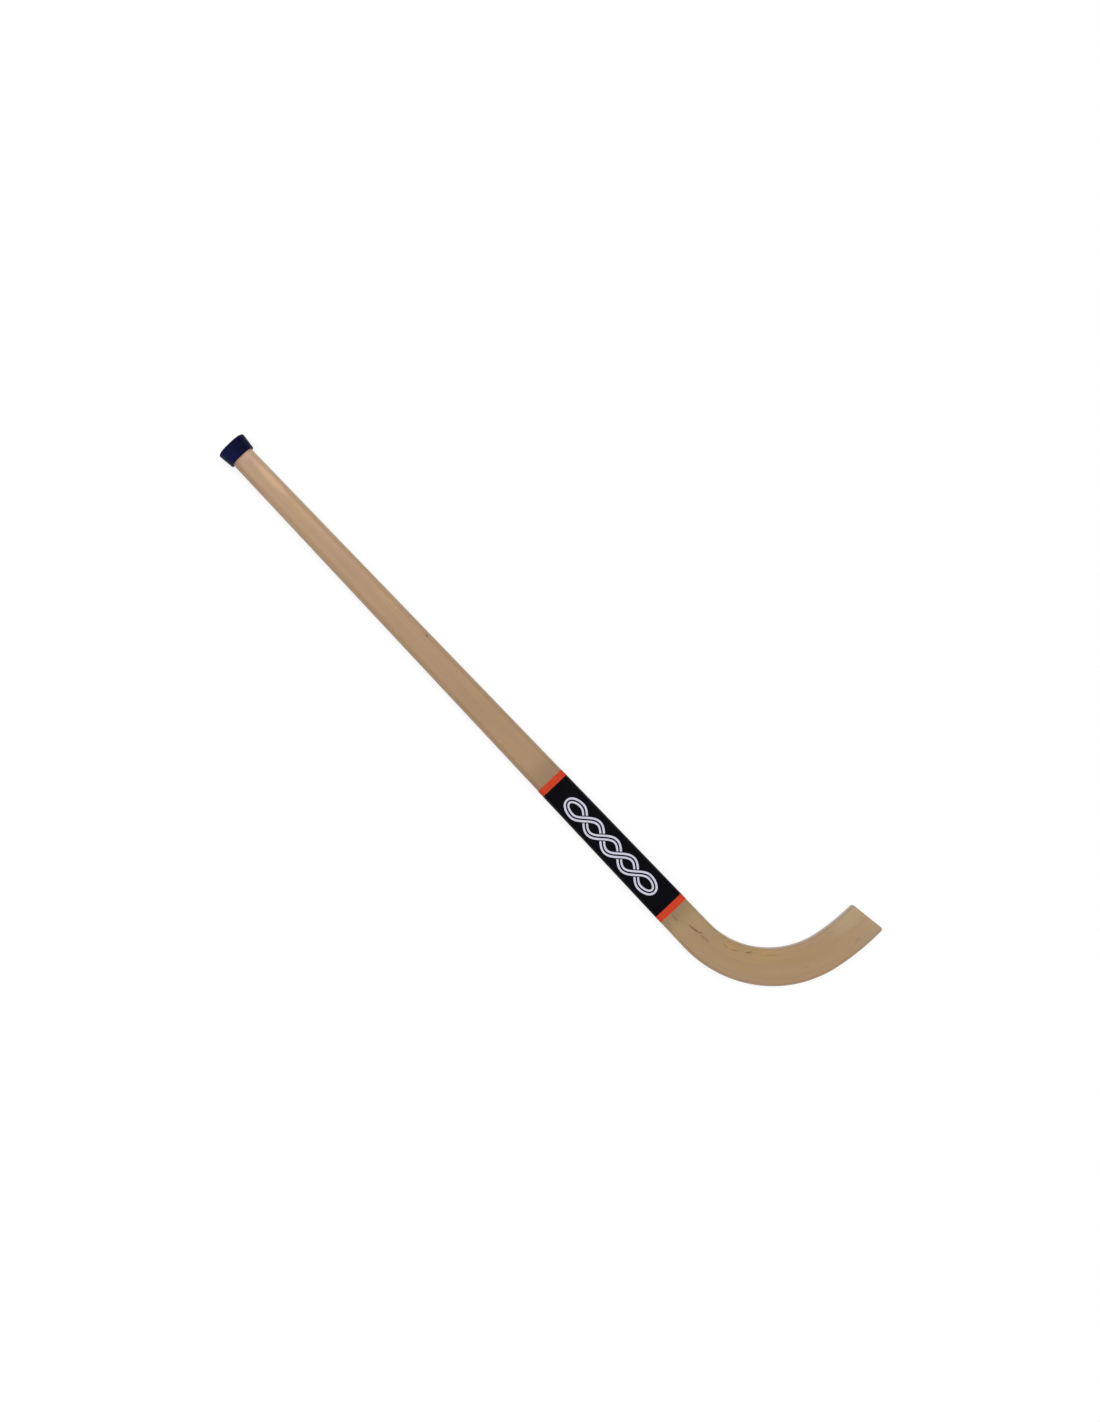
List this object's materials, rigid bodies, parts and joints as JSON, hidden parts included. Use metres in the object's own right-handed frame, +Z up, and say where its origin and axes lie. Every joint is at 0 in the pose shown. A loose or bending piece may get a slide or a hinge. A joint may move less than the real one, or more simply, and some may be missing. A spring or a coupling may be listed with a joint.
{
  "type": "roller hockey stick",
  "caption": "Wooden rink hockey stick: a tapered shaft bent to a flat curved blade, with a butt cap and a printed wrap.",
  "frame": {"origin": "on the ground under the middle of the bounding box, with the stick lying on its flat side", "axes": "+X along the shaft from the butt cap towards the blade, +Y the way the blade bends, +Z up out of the flat side"},
  "size_m": [0.9436, 0.1848, 0.032],
  "materials": {
    "wood": "clear satin lacquer",
    "cap": "satin",
    "dark_print": "satin film",
    "bright_print": "satin film"
  },
  "bodies": {
    "root": {"lamella_1": "wood", "lamella_2": "wood", "lamella_3": "wood", "lamella_4": "wood", "lamella_5": "wood", "lamella_6": "wood", "lamella_7": "wood", "lamella_8": "wood", "lamella_9": "wood", "butt_cap": "cap", "label_wrap": "dark_print", "upper_stripe": "bright_print", "lower_stripe": "bright_print"}
  },
  "joints": []
}
